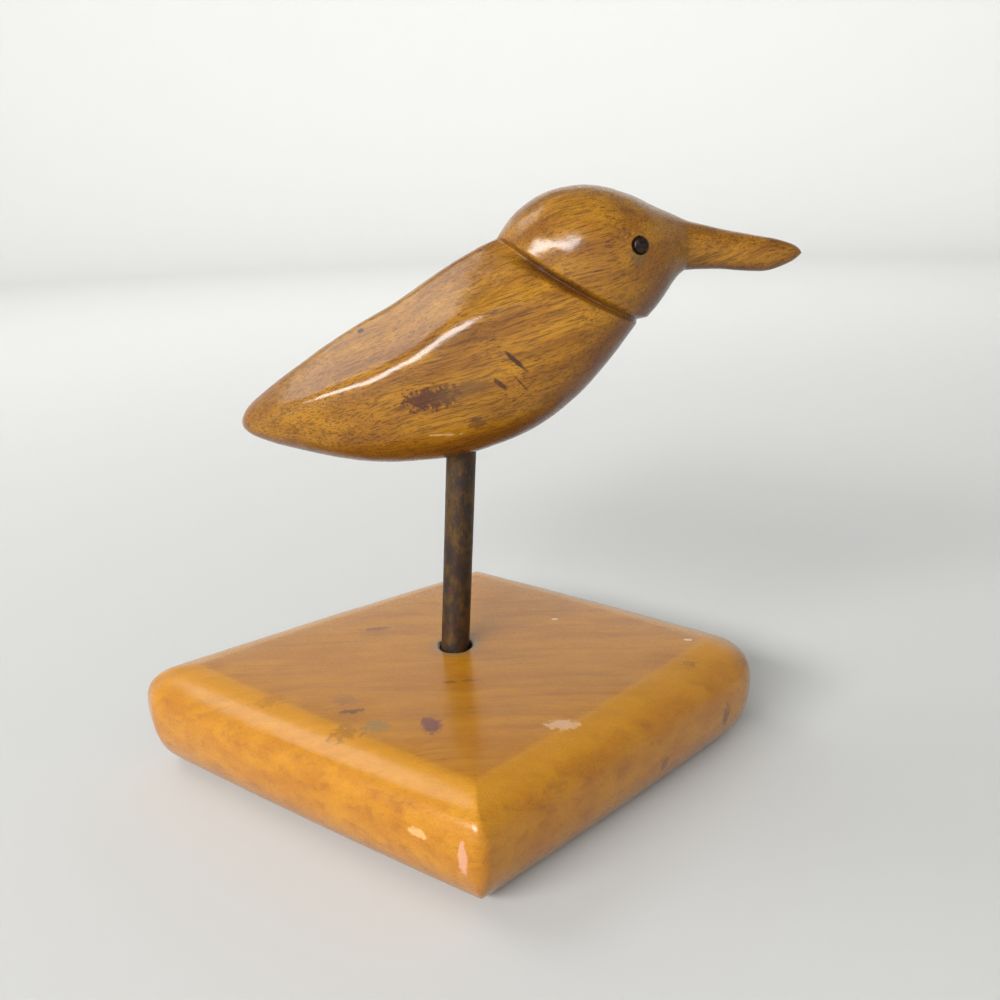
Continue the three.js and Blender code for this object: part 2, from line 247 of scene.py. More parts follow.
def roughen(piece, depth_at):
    """Moves each point inwards by the depth that depth_at gives for it."""
    normals = [vertex.normal.copy() for vertex in piece.data.vertices]
    depths = [depth_at(vertex) for vertex in piece.data.vertices]
    for vertex, normal, depth in zip(piece.data.vertices, normals, depths):
        vertex.co -= normal * depth


def cloud(place, size):
    """Smooth noise from 0 to 1, in lumps of about the given size."""
    return 0.5 + 0.5 * noise.noise(Vector(place) / size)


def under_insets(share):
    return [BOTTOM_INSET * share] * len(BASE_CORNERS)


def top_insets(share):
    return [inset * share for inset in CREASE_INSETS]


def curved(value):
    return value ** (2 / TOP_FULLNESS)


block_rings = [block_ring(under_insets(1), 0, 0, share) for share in reversed(FACE_RINGS)]
for step in range(BASE_LEVELS + 1):
    angle = pi / 2 * step / BASE_LEVELS
    block_rings.append(block_ring(under_insets(1 - sin(angle)), BOTTOM_RISE * (1 - cos(angle)), 0.3))
for step in range(BASE_LEVELS + 1):
    angle = CREASE_TURN * step / BASE_LEVELS
    inward = (1 - curved(cos(angle))) / (1 - curved(cos(CREASE_TURN)))
    height = BASE_TOP - TOP_DROP + (TOP_DROP - CREASE_SOFTNESS) * curved(sin(angle)) / curved(sin(CREASE_TURN))
    block_rings.append(block_ring(top_insets(inward), height, 0.3 + 0.7 * step / BASE_LEVELS))
for share in FACE_RINGS:
    height = BASE_TOP - CREASE_SOFTNESS * smoothstep(share, 0.90, 1.02)
    block_rings.append(block_ring(top_insets(1), height, smoothstep(share, 0.9, 1), share))
base = extrude_through("base_block", block_rings, (0, 0, 0, 0), (0, 0, BASE_TOP, 0), ("rasp",))
finish_with(base, "SUBSURF", levels=2, render_levels=2)
rasped = base.data.attributes["rasp"].data


def rasp_depth(vertex):
    lumps = 0.6 * cloud(vertex.co, 9 * MM) + 0.3 * cloud(vertex.co, 3.5 * MM) + 0.1 * cloud(vertex.co, 1.4 * MM)
    return RASP_DEPTH * lumps * rasped[vertex.index].value * smoothstep(vertex.co.z, 0.2 * MM, 3 * MM)


roughen(base, rasp_depth)

bpy.ops.object.select_all(action="DESELECT")
bpy.ops.mesh.primitive_cylinder_add(vertices=48, radius=BORE_RADIUS, depth=BORE_DEPTH * 2)
drill = bpy.context.object
bpy.ops.object.mode_set(mode="EDIT")
bpy.ops.mesh.select_all(action="SELECT")
for height in (-RIM_DEPTH, -RIM_DEPTH / 2, 0, RIM_DEPTH):
    bpy.ops.mesh.select_all(action="SELECT")
    bpy.ops.mesh.bisect(plane_co=(0, 0, height), plane_no=(0, 0, 1))
bpy.ops.object.mode_set(mode="OBJECT")
for vertex in drill.data.vertices:
    flare = smoothstep(vertex.co.z, -RIM_DEPTH, RIM_DEPTH * 0.4) ** 2
    side = vertex.co.xy.normalized()
    rag = RIM_RAG * (2 * cloud((side.x, side.y, 0.3), 0.35) - 1) - 0.35 * MM * side.x
    vertex.co.xy = side * lerp(BORE_RADIUS, RIM_RADIUS + rag, flare)
drill.data.transform(Matrix.Translation(ROD_FOOT) @ Matrix.Rotation(ROD_LEAN, 4, "Y"))
finish_with(base, "BOOLEAN", object=drill, operation="DIFFERENCE", solver="MANIFOLD")
bpy.data.objects.remove(drill)
bpy.ops.object.shade_smooth_by_angle(angle=radians(40))


def add_node(tree, kind, label, **sockets):
    """A node whose inputs take a value, or the output of another node."""
    node = tree.nodes.new(kind)
    node.label = label
    for name, value in sockets.items():
        socket = node.inputs[int(name[1:])] if name[1:].isdigit() else node.inputs[name.replace("_", " ")]
        if isinstance(value, bpy.types.NodeSocket):
            tree.links.new(value, socket)
        else:
            socket.default_value = value
    return node


def maths(tree, operation, label, first, second=0.0):
    node = add_node(tree, "ShaderNodeMath", label, i0=first, i1=second)
    node.operation = operation
    return node.outputs[0]


def vector_maths(tree, operation, label, first, second=(0, 0, 0)):
    node = add_node(tree, "ShaderNodeVectorMath", label, i0=first, i1=second)
    node.operation = operation
    return node.outputs["Value" if operation in ("LENGTH", "DISTANCE", "DOT_PRODUCT") else "Vector"]


def blend(tree, label, share, first, second, kind="MIX"):
    """Goes from the first colour to the second as the share rises."""
    node = tree.nodes.new("ShaderNodeMix")
    node.data_type = "RGBA"
    node.blend_type = kind
    node.label = label
    for number, value in ((0, share), (6, first), (7, second)):
        if isinstance(value, bpy.types.NodeSocket):
            tree.links.new(value, node.inputs[number])
        else:
            node.inputs[number].default_value = value
    return node.outputs[2]


def ramp(tree, label, value, low, high, bottom=0.0, top=1.0):
    """Goes smoothly from bottom to top as the value goes from low to high."""
    node = add_node(tree, "ShaderNodeMapRange", label, Value=value, From_Min=low, From_Max=high)
    node.interpolation_type = "SMOOTHSTEP"
    node.inputs["To Min"].default_value = bottom
    node.inputs["To Max"].default_value = top
    return node.outputs[0]


def noise_field(tree, label, place, stretch, detail=2.0, roughness=0.5):
    """Noise whose lumps per millimetre are given for each axis."""
    drawn = vector_maths(tree, "MULTIPLY", label, place, stretch)
    field = add_node(tree, "ShaderNodeTexNoise", label, Vector=drawn, Scale=1.0, Detail=detail, Roughness=roughness)
    return field.outputs["Fac"]


def new_group(name, inputs, outputs):
    """An empty node group with named sockets; each is a (name, type, default) row."""
    group = bpy.data.node_groups.new(name, "ShaderNodeTree")
    for rows, side in ((inputs, "INPUT"), (outputs, "OUTPUT")):
        for title, kind, value in rows:
            socket = group.interface.new_socket(title, in_out=side, socket_type="NodeSocket" + kind)
            if value is not None:
                socket.default_value = value
    return group, group.nodes.new("NodeGroupInput").outputs, group.nodes.new("NodeGroupOutput").inputs


def timber_grain():
    """The figure of the wood, in millimetres: clouds, bands, fine streaks, pores and silky flecks."""
    outputs = [(name, "Float", None) for name in ("Cloud", "Band", "Streak", "Pore", "Fleck")]
    tree, given, result = new_group("Timber grain", [("Place", "Vector", None)], outputs)
    drift = add_node(tree, "ShaderNodeTexNoise", "grain drift", Vector=given["Place"], Scale=0.035, Detail=2.0)
    drift = vector_maths(tree, "SUBTRACT", "drift about zero", drift.outputs["Color"], (0.5, 0.5, 0.5))
    drift = vector_maths(tree, "MULTIPLY", "drift reach", drift, (0, 4, 4))
    place = vector_maths(tree, "ADD", "drifted place", given["Place"], drift)
    rows = (
        ("Cloud", (0.05, 0.22, 0.22), 4.0, 0.6, 0.32, 0.68),
        ("Band", (0.008, 0.45, 0.45), 4.0, 0.65, 0.50, 0.66),
        ("Streak", (0.10, 3.0, 3.0), 3.0, 0.6, 0.50, 0.62),
        ("Pore", (0.26, 6.5, 6.5), 2.0, 0.5, 0.57, 0.66),
        ("Fleck", (1.6, 3.0, 3.0), 4.0, 0.7, 0.40, 0.60),
    )
    for name, stretch, detail, roughness, low, high in rows:
        field = noise_field(tree, name, place, stretch, detail, roughness)
        tree.links.new(ramp(tree, name, field, low, high), result[name])
    return tree


def stain_spot():
    """A ragged spot: 1 inside an ellipsoid, 0 outside it. Place, centre and reach in millimetres."""
    inputs = [("Place", "Vector", None), ("Centre", "Vector", (0, 0, 0)), ("Turn", "Vector", (0, 0, 0))]
    inputs += [("Reach", "Vector", (1, 1, 1)), ("Raggedness", "Float", 0.5), ("Softness", "Float", 0.3)]
    tree, given, result = new_group("Stain spot", inputs, [("Mask", "Float", None)])
    local = add_node(tree, "ShaderNodeMapping", "spot", Vector=given["Place"], Location=given["Centre"])
    tree.links.new(given["Turn"], local.inputs["Rotation"])
    tree.links.new(given["Reach"], local.inputs["Scale"])
    local.vector_type = "TEXTURE"
    far = vector_maths(tree, "LENGTH", "how far out", local.outputs[0])
    rag = noise_field(tree, "ragged edge", given["Place"], (0.9, 0.9, 0.9), 3.0, 0.6)
    rag = maths(tree, "MULTIPLY", "raggedness", maths(tree, "SUBTRACT", "about zero", rag, 0.5), given["Raggedness"])
    far = maths(tree, "ADD", "ragged distance", far, maths(tree, "MULTIPLY", "both ways", rag, 4.0))
    inner = maths(tree, "SUBTRACT", "solid part", 1.0, given["Softness"])
    outer = maths(tree, "ADD", "faded part", 1.0, given["Softness"])
    edge = tree.nodes.new("ShaderNodeMapRange")
    edge.interpolation_type = "SMOOTHSTEP"
    for name, value in (("Value", far), ("From Min", outer), ("From Max", inner)):
        tree.links.new(value, edge.inputs[name])
    tree.links.new(edge.outputs[0], result["Mask"])
    return tree


TIMBER_GRAIN = timber_grain()
STAIN_SPOT = stain_spot()


def place_in_mm(tree, label="object place in millimetres", turn=(0, 0, 0)):
    place = tree.nodes.new("ShaderNodeTexCoord")
    node = add_node(tree, "ShaderNodeMapping", label, Vector=place.outputs["Object"], Rotation=turn)
    node.inputs["Scale"].default_value = (1 / MM, 1 / MM, 1 / MM)
    return node.outputs[0]


def use_group(tree, group, **sockets):
    node = tree.nodes.new("ShaderNodeGroup")
    node.node_tree = group
    for name, value in sockets.items():
        if isinstance(value, bpy.types.NodeSocket):
            tree.links.new(value, node.inputs[name])
        else:
            node.inputs[name].default_value = value
    return node.outputs


def spots(tree, place, colour, rows):
    """Stains one after another over a colour; each row is a colour, strength, centre, reach, turn, ragged."""
    for label, tint, strength, centre, reach, turn, ragged in rows:
        mask = use_group(tree, STAIN_SPOT, Place=place, Centre=centre, Reach=reach, Turn=turn, Raggedness=ragged)
        share = maths(tree, "MULTIPLY", label, mask["Mask"], strength)
        colour = blend(tree, label, share, colour, (*tint, 1))
    return colour


def attribute(tree, name):
    node = tree.nodes.new("ShaderNodeAttribute")
    node.attribute_name = name
    return node.outputs["Fac"]


LIGHT_HONEY = (0.46, 0.190, 0.007, 1)
DEEP_HONEY = (0.38, 0.140, 0.005, 1)
HONEY_STREAK = (0.16, 0.048, 0.004, 1)
# Paler wood where the edge was rasped, and partly a painted highlight along the rounded top edge.
PALE_HONEY_AND_SHEEN = (0.60, 0.27, 0.020, 1)
# Painted shade: the colour that the base's sides are darkened towards, near the bottom.
SHADED_LOW_HONEY = (0.18, 0.060, 0.004, 1)
BASE_STAINS = (
    ("red patch", (0.13, 0.035, 0.035), 0.85, (-2.3, -29.4, 23.4), (1.9, 2.9, 1), (0, 0, 0.3), 0.5),
    ("green blotch", (0.16, 0.13, 0.05), 0.55, (-12.8, -29.1, 23.4), (2.3, 2.0, 1), (0, 0, 0), 0.7),
    ("dark scribble", (0.10, 0.03, 0.01), 0.8, (-18.4, -23.2, 23.4), (2.4, 0.7, 1), (0, 0, 0.1), 0.9),
    ("pale scuff", (0.70, 0.45, 0.28), 0.6, (23.0, -30.4, 23.3), (3.2, 1.6, 1), (0, 0, 0), 0.5),
    ("brown fleck behind the rod", (0.16, 0.05, 0.01), 0.8, (-17.6, 14.1, 23.4), (3.2, 0.9, 1), (0, 0, 0.1), 0.7),
    ("brown fleck", (0.14, 0.05, 0.01), 0.7, (0.4, -12.6, 23.4), (1.5, 0.5, 1), (0, 0, 0), 0.6),
    ("brown flecks", (0.14, 0.05, 0.01), 0.6, (4.8, -12.2, 23.4), (2.2, 0.4, 1), (0, 0, 0), 0.8),
    ("pale fleck", (0.80, 0.72, 0.60), 0.7, (24.5, 16.5, 23.4), (0.7, 0.5, 1), (0, 0, 0), 0.4),
    ("far pale fleck", (0.80, 0.72, 0.60), 0.7, (53.7, 3.8, 23.4), (0.9, 0.4, 1), (0, 0, 0), 0.4),
    ("side scuff", (0.72, 0.46, 0.20), 0.5, (-4.0, -50.5, 14.8), (2.0, 1.5, 0.9), (0, 0, 0), 0.5),
    # A painted highlight: a pinkish streak on the front ridge of the base.
    ("painted pink highlight by the ridge", (0.66, 0.36, 0.26), 0.5, (4.0, -55.9, 13.0), (0.8, 1.2, 3.4), (0, 0, 0), 0.4),
    ("smudge by the far edge", (0.20, 0.08, 0.01), 0.5, (52.7, -6.5, 23.0), (2.6, 1.2, 1), (0, 0, 0.4), 0.8),
    ("dark nick on the side", (0.10, 0.03, 0.01), 0.7, (60.1, -8.4, 11.0), (1.2, 1.2, 2.4), (0, 0, 0), 0.8),
    ("low dark nick", (0.10, 0.03, 0.01), 0.6, (44.1, -23.6, 9.0), (1.2, 1.2, 1.6), (0, 0, 0), 0.8),
    ("worn edge", (0.24, 0.10, 0.02), 0.6, (-20.4, -19.0, 23.2), (2.2, 1.6, 1.2), (0, 0, 0), 1.2),
    ("worn edge to the left", (0.30, 0.12, 0.02), 0.5, (-35.9, -17.7, 23.0), (3.0, 1.4, 1.2), (0, 0, 0), 1.2),
    ("chipped spot on the edge", (0.24, 0.10, 0.02), 0.6, (-19.0, -30.5, 22.5), (2.6, 1.8, 2.2), (0, 0, 0), 1.5),
)


def honey_wood():
    material = bpy.data.materials.new("honey_lacquered_wood")
    material.use_nodes = True
    tree = material.node_tree
    shader = tree.nodes["Principled BSDF"]
    place = place_in_mm(tree)
    grain = use_group(tree, TIMBER_GRAIN, Place=place)
    rasp = attribute(tree, "rasp")
    colour = blend(tree, "clouds", grain["Cloud"], DEEP_HONEY, LIGHT_HONEY)
    band = maths(tree, "MULTIPLY", "band strength", grain["Band"], 0.30)
    colour = blend(tree, "bands", band, colour, HONEY_STREAK)
    streak = maths(tree, "MULTIPLY", "streak strength", grain["Streak"], 0.16)
    colour = blend(tree, "streaks", streak, colour, HONEY_STREAK)
    pore = maths(tree, "MULTIPLY", "pore strength", grain["Pore"], 0.35)
    colour = blend(tree, "pores", pore, colour, HONEY_STREAK)
    # The rasped rounding is made paler: partly lighter worn wood, partly a painted highlight along the edge.
    colour = blend(tree, "rasped edge and painted sheen", maths(tree, "MULTIPLY", "rasped", ramp(tree, "fresh wood and sheen", rasp, 0.55, 0.9), 0.5), colour, PALE_HONEY_AND_SHEEN)
    height = add_node(tree, "ShaderNodeSeparateXYZ", "height", Vector=place).outputs["Z"]
    # Painted shade: the sides are darkened towards the bottom, where they face down away from the lights.
    colour = blend(tree, "painted shade low on the sides", ramp(tree, "low", height, 11, 2, 0, 0.55), colour, SHADED_LOW_HONEY)
    colour = spots(tree, place, colour, BASE_STAINS)
    foot = vector_maths(tree, "SUBTRACT", "from the rod's foot", place, tuple(ROD_FOOT / MM))
    foot = maths(tree, "ADD", "ragged foot distance", vector_maths(tree, "LENGTH", "foot distance", foot), noise_field(tree, "rag", place, (1.3, 1.3, 1.3), 3.0))
    colour = blend(tree, "grey halo", ramp(tree, "halo", foot, 7.4, 4.8, 0, 0.45), colour, (0.24, 0.17, 0.10, 1))
    # A dark ring round the rod: partly glue, partly painted shade in the gap round the rod.
    colour = blend(tree, "glue and painted shade round the rod", ramp(tree, "rim", foot, 5.0, 4.3, 0, 0.95), colour, (0.02, 0.012, 0.008, 1))
    tree.links.new(colour, shader.inputs["Base Color"])
    gloss = ramp(tree, "gloss", grain["Fleck"], 0, 1, 0.22, 0.36)
    tree.links.new(gloss, shader.inputs["Roughness"])
    pits = maths(tree, "MULTIPLY", "pits where it was rasped", grain["Fleck"], rasp)
    grooves = maths(tree, "MULTIPLY", "shallow grain", maths(tree, "ADD", "grain", grain["Pore"], grain["Streak"]), 0.25)
    height = maths(tree, "ADD", "relief", pits, grooves)
    bump = add_node(tree, "ShaderNodeBump", "relief", Height=height, Strength=0.5, Distance=0.00012)
    bump.invert = True
    tree.links.new(bump.outputs[0], shader.inputs["Normal"])
    shader.inputs["Specular IOR Level"].default_value = 0.1
    shader.inputs["Coat Weight"].default_value = 0.7
    shader.inputs["Coat Roughness"].default_value = 0.20
    shader.inputs["Coat IOR"].default_value = 1.45
    return material


base.data.materials.clear()
base.data.materials.append(honey_wood())
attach(base, "root")
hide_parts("base")

# Rod: a quarter-inch metal bar that leans a little forwards, its ends broken with a file. It is
# glued into the base and into the belly, and has tarnished to a mottled dark brown.
ROD_RADIUS = 3.18 * MM
ROD_SINK = 14 * MM
ROD_LENGTH = 72.5 * MM
ROD_CHAMFER = 0.5 * MM
ROD_CUTS = 15
PIT_DEPTH = 0.06 * MM

bpy.ops.object.select_all(action="DESELECT")
bpy.ops.mesh.primitive_cylinder_add(vertices=40, radius=ROD_RADIUS, depth=ROD_LENGTH)
rod = bpy.context.object
rod.name = "tarnished_bar"
bpy.ops.object.mode_set(mode="EDIT")
for cut in range(1, ROD_CUTS):
    bpy.ops.mesh.select_all(action="SELECT")
    bpy.ops.mesh.bisect(plane_co=(0, 0, ROD_LENGTH * (cut / ROD_CUTS - 0.5)), plane_no=(0, 0, 1))
bpy.ops.object.mode_set(mode="OBJECT")
finish_with(rod, "BEVEL", width=ROD_CHAMFER, segments=3, limit_method="ANGLE", angle_limit=radians(60))
finish_with(rod, "SUBSURF", subdivision_type="SIMPLE", levels=2, render_levels=2)
bpy.ops.object.shade_smooth_by_angle(angle=radians(50))
roughen(rod, lambda vertex: PIT_DEPTH * (cloud(vertex.co, 4 * MM) * 0.5 + cloud(vertex.co, 1.3 * MM) * 0.5))
onto_foot = Matrix.Translation(ROD_FOOT) @ Matrix.Rotation(ROD_LEAN, 4, "Y")
rod.data.transform(onto_foot @ Matrix.Translation((0, 0, ROD_LENGTH / 2 - ROD_SINK)))


def tarnished_metal():
    material = bpy.data.materials.new("tarnished_bar_metal")
    material.use_nodes = True
    tree = material.node_tree
    shader = tree.nodes["Principled BSDF"]
    place = place_in_mm(tree)
    broad = noise_field(tree, "broad tarnish", place, (0.40, 0.40, 0.22), 4.0, 0.65)
    fine = noise_field(tree, "fine tarnish", place, (1.5, 1.5, 1.0), 5.0, 0.7)
    rust = noise_field(tree, "red tarnish", vector_maths(tree, "ADD", "aside", place, (40, 7, 3)), (0.7, 0.7, 0.45), 4.0, 0.7)
    colour = blend(tree, "olive bloom", ramp(tree, "bloom", broad, 0.42, 0.66), (0.020, 0.010, 0.006, 1), (0.11, 0.062, 0.018, 1))
    colour = blend(tree, "red tarnish", ramp(tree, "red", rust, 0.52, 0.70, 0, 0.75), colour, (0.085, 0.022, 0.010, 1))
    colour = blend(tree, "bare brass", ramp(tree, "bare", fine, 0.60, 0.76, 0, 0.6), colour, (0.32, 0.20, 0.06, 1))
    tree.links.new(colour, shader.inputs["Base Color"])
    tree.links.new(ramp(tree, "metal shows", broad, 0.40, 0.65, 0.25, 0.7), shader.inputs["Metallic"])
    tree.links.new(ramp(tree, "dullness", fine, 0.35, 0.70, 0.42, 0.62), shader.inputs["Roughness"])
    bump = add_node(tree, "ShaderNodeBump", "crust", Height=fine, Strength=0.4, Distance=0.00015)
    tree.links.new(bump.outputs[0], shader.inputs["Normal"])
    return material


rod.data.materials.clear()
rod.data.materials.append(tarnished_metal())
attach(rod, "root")
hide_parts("rod")

# Bird: body, head and beak carved from one piece of ochre-brown wood and lacquered. The back is
# planed in flats that meet the flanks in a ridge, and a groove undercuts the head.
MIDDLE_Y = ROD_FOOT.y
BODY_ROWS = (
    (-40.9, 77.4, -40.5, 74.8, 1.6, 0.3, 0.02),
    (-39.6, 79.6, -38.2, 73.3, 4.2, 0.3, 0.02),
    (-36.2, 82.6, -33.5, 71.7, 7.0, 0.3, 0.02),
    (-30.4, 86.7, -25.5, 69.7, 10.0, 0.36, 0.03),
    (-22.8, 91.7, -15.0, 67.8, 12.7, 0.38, 0.035),
    (-14.5, 96.6, -4.6, 67.5, 14.4, 0.36, 0.035),
    (-6.4, 101.0, 7.0, 68.9, 15.2, 0.43, 0.035),
    (0.5, 105.5, 19.0, 73.2, 15.3, 0.48, 0.04),
    (5.0, 108.1, 29.4, 80.5, 14.9, 0.44, 0.06),
    (7.9, 109.6, 37.0, 89.2, 14.3, 0.38, 0.09),
    (9.9, 110.6, 41.0, 94.5, 13.8, 0.34, 0.12),
)
NECK_ROW = (13.2, 112.0, 41.6, 95.1, 13.3, 0.34, 0.12)
HEAD_ROWS = (
    (13.5, 112.6, 43.2, 95.6, 13.4),
    (17.2, 117.0, 44.7, 97.3, 13.7),
    (23.6, 120.7, 46.1, 99.1, 13.4),
    (31.2, 121.6, 47.3, 100.9, 12.3),
    (38.4, 119.9, 48.3, 102.5, 10.4),
    (44.6, 117.1, 49.3, 103.7, 7.9),
    (50.0, 114.7, 50.4, 104.5, 5.2),
)
BEAK_ROWS = (
    (50.8, 114.3, 51.0, 104.5, 5.0),
    (57.0, 112.7, 57.0, 104.5, 4.2),
    (63.0, 111.4, 62.8, 103.9, 3.6),
    (68.4, 110.3, 67.2, 103.9, 3.0),
    (72.2, 109.0, 71.5, 105.4, 2.0),
    (73.6, 107.9, 73.2, 106.5, 1.0),
)
TAIL_POLE = (-41.2 * MM, MIDDLE_Y, 76.1 * MM, 0, 0.5, 1)
BEAK_POLE = (74.0 * MM, MIDDLE_Y, 107.2 * MM, 0, 0.3, 1)
BODY_STEPS = 5
HEAD_STEPS = 5
BEAK_STEPS = 4
ROOF_STEPS = 10
UNDER_STEPS = 18
RIDGE_HALF_ANGLE = radians(3.5)
OVAL_RIDGE = 0.43
SPINE_HALF = 0.12
FLANK_REACH = 0.985
SHOULDER_TILT = radians(62)
SHOULDER_TURN = radians(116)
RIDGE_SHARPNESS = 60
OVAL_FULLNESS = 2.1
UPPER_FULLNESS = 3.2
LOWER_FULLNESS = 2.4
FLATS_START, FLATS_FULL = 0.1, 0.38
GROOVE_DEPTH = 1.7
GROOVE_START, GROOVE_FULL, GROOVE_FADE = radians(18), radians(55), radians(85)
GROOVE_THROAT_SHARE = 0.3
NECK_SAG = 0.7
# Painted shade: the share of the way round each slice where darkening of the underside starts and is full.
UNDERSIDE_SHADE_START, UNDERSIDE_SHADE_FULL = 0.66, 0.90
CARVE_DEPTH = 0.32 * MM
SOCKET_RADIUS = 3.35 * MM
SOCKET_DEPTH = 60 * MM


def row_between(rows, place):
    """A smooth row between rows: a cubic through each pair, aimed by their neighbours."""
    index = min(int(place), len(rows) - 2)
    t = place - index
    a, b, c, d = (rows[min(max(index + step, 0), len(rows) - 1)] for step in (-1, 0, 1, 2))
    row = []
    for k, value in enumerate(b):
        leave = (c[k] - a[k]) / 2
        arrive = (d[k] - value) / 2
        rise = c[k] - value
        row.append(value + t * leave + t * t * (3 * rise - 2 * leave - arrive) + t ** 3 * (leave + arrive - 2 * rise))
    return row


def oval_reach(up, out, fullness):
    return (abs(up) ** fullness + out ** fullness) ** (-1 / fullness)


def planed_reach(up, out, ridge, ease):
    """How far a body slice reaches: a full oval cut by the roof, shoulder and flank flats."""
    roof = Vector((1 - ridge, FLANK_REACH - SPINE_HALF)).normalized()
    roof_reach = roof.x * FLANK_REACH + roof.y * ridge
    tilt = SHOULDER_TILT + SHOULDER_TURN * ease
    shoulder = Vector((sin(tilt), cos(tilt)))
    shoulder_reach = (shoulder.x * FLANK_REACH + shoulder.y * ridge) * (1 - ease)
    cuts = (
        1 / oval_reach(up, out, UPPER_FULLNESS if up > 0 else LOWER_FULLNESS),
        max(roof.x * out + roof.y * up, 0) / roof_reach,
        max(shoulder.x * out + shoulder.y * up, 0) / shoulder_reach,
        out / FLANK_REACH,
    )
    return sum(cut ** RIDGE_SHARPNESS for cut in cuts) ** (-1 / RIDGE_SHARPNESS)


def slice_angles(ridge):
    corner = atan2(FLANK_REACH, ridge)
    half = [(corner - RIDGE_HALF_ANGLE) * step / ROOF_STEPS for step in range(ROOF_STEPS + 1)]
    half += [lerp(corner + RIDGE_HALF_ANGLE, pi, step / UNDER_STEPS) for step in range(UNDER_STEPS + 1)]
    return half + [2 * pi - angle for angle in reversed(half[1:-1])]


def groove_share(angle):
    """The groove's depth at one angle from the nape, as a share of its greatest depth."""
    start = smoothstep(angle, GROOVE_START, GROOVE_FULL)
    return start * lerp(1, GROOVE_THROAT_SHARE, smoothstep(angle, GROOVE_FADE, pi))


def bird_slice(row, flatness, groove, sag):
    top_x, top_z, bottom_x, bottom_z, half = row[:5]
    ridge, ease = row[5:] if len(row) > 5 else (OVAL_RIDGE, 0)
    span_x, span_z = top_x - bottom_x, top_z - bottom_z
    height = hypot(span_x, span_z) / 2
    whole = planed_reach(1, 0, ridge, ease)
    ring = []
    for angle in slice_angles(ridge):
        up = cos(angle)
        out = abs(sin(angle))
        planed = planed_reach(up, out, ridge, ease) / lerp(1, whole, max(up, 0))
        size = lerp(oval_reach(up, out, OVAL_FULLNESS), planed, flatness)
        cut = groove * groove_share(acos(max(min(up, 1), -1)))
        along = up * size * (1 - cut / height) / 2
        back = sag * out * out / (2 * height)
        x = (top_x + bottom_x) / 2 + along * span_x - back * span_z
        y = MIDDLE_Y - sin(angle) * size * (half - cut) * MM
        z = (top_z + bottom_z) / 2 + along * span_z + back * span_x
        round_share = acos(max(min(up, 1), -1)) / pi
        # Painted shade: how far round towards the underside this point lies; the material darkens it by this.
        low = smoothstep(round_share, UNDERSIDE_SHADE_START, UNDERSIDE_SHADE_FULL)
        carved = 1 - flatness * 0.8 * smoothstep(round_share, 0.40, 0.46)
        ring.append((x * MM, y, z * MM, cut / GROOVE_DEPTH, low, carved))
    return ring


def bird_slices(rows, steps, flatness_at, sag_at):
    count = (len(rows) - 1) * steps
    shares = [k / count for k in range(count + 1)]
    return [bird_slice(row_between(rows, share * (len(rows) - 1)), flatness_at(share), 0, sag_at(share)) for share in shares]


lip = BODY_ROWS[-1]
bird_rings = bird_slices(BODY_ROWS, BODY_STEPS, lambda share: smoothstep(share, FLATS_START, FLATS_FULL), lambda share: 0)
for share in (0.25, 0.5, 0.75, 0.93, 1):
    row = [lerp(a, b, share) for a, b in zip(lip, NECK_ROW)]
    bird_rings.append(bird_slice(row, 1, GROOVE_DEPTH * share ** 1.3, NECK_SAG * share))
bird_rings += bird_slices(HEAD_ROWS, HEAD_STEPS, lambda share: 0, lambda share: NECK_SAG * (1 - share) ** 4)
bird_rings += bird_slices(BEAK_ROWS, BEAK_STEPS, lambda share: 0, lambda share: 0)
bird = extrude_through("bird_carving", bird_rings, TAIL_POLE, BEAK_POLE, ("recess", "underside_shade", "carved"))
finish_with(bird, "SUBSURF", levels=2, render_levels=2)


def knife_depth(vertex):
    lumps = 0.65 * cloud(vertex.co, 8 * MM) + 0.25 * cloud(vertex.co, 3 * MM) + 0.10 * cloud(vertex.co, 1.2 * MM)
    return CARVE_DEPTH * lumps


roughen(bird, knife_depth)

EYE_X, EYE_Z = 40.1 * MM, 110.4 * MM
EYE_RADIUS, EYE_DOME, EYE_SINK = 1.5 * MM, 0.55 * MM, 1.1 * MM
EYE_HOLE_RADIUS = 1.8 * MM
EYE_HOLE_BACK = 0.25 * MM


def eye_seat(side):
    """Where a line across the head meets its side, as a matrix whose Z points out of the wood."""
    hit, place, out, face = bird.ray_cast((EYE_X, MIDDLE_Y + side * 40 * MM, EYE_Z), (0, -side, 0))
    return Matrix.Translation(place) @ out.to_track_quat("Z", "Y").to_matrix().to_4x4()


EYE_SEATS = {"right": eye_seat(-1), "left": eye_seat(1)}
for seat in EYE_SEATS.values():
    bpy.ops.object.select_all(action="DESELECT")
    bpy.ops.mesh.primitive_cylinder_add(vertices=32, radius=EYE_HOLE_RADIUS, depth=EYE_SINK * 3)
    drill = bpy.context.object
    drill.data.transform(Matrix.Translation((-EYE_HOLE_BACK, 0, 0)) @ seat @ Matrix.Translation((0, 0, EYE_SINK * 0.25)))
    finish_with(bird, "BOOLEAN", object=drill, operation="DIFFERENCE", solver="MANIFOLD")
    bpy.data.objects.remove(drill)

bpy.ops.object.select_all(action="DESELECT")
bpy.ops.mesh.primitive_cylinder_add(vertices=48, radius=SOCKET_RADIUS, depth=SOCKET_DEPTH)
drill = bpy.context.object
drill.data.transform(Matrix.Translation(ROD_FOOT) @ Matrix.Rotation(ROD_LEAN, 4, "Y") @ Matrix.Translation((0, 0, SOCKET_DEPTH / 2)))
finish_with(bird, "BOOLEAN", object=drill, operation="DIFFERENCE", solver="MANIFOLD")
bpy.data.objects.remove(drill)
bpy.ops.object.shade_smooth_by_angle(angle=radians(50))

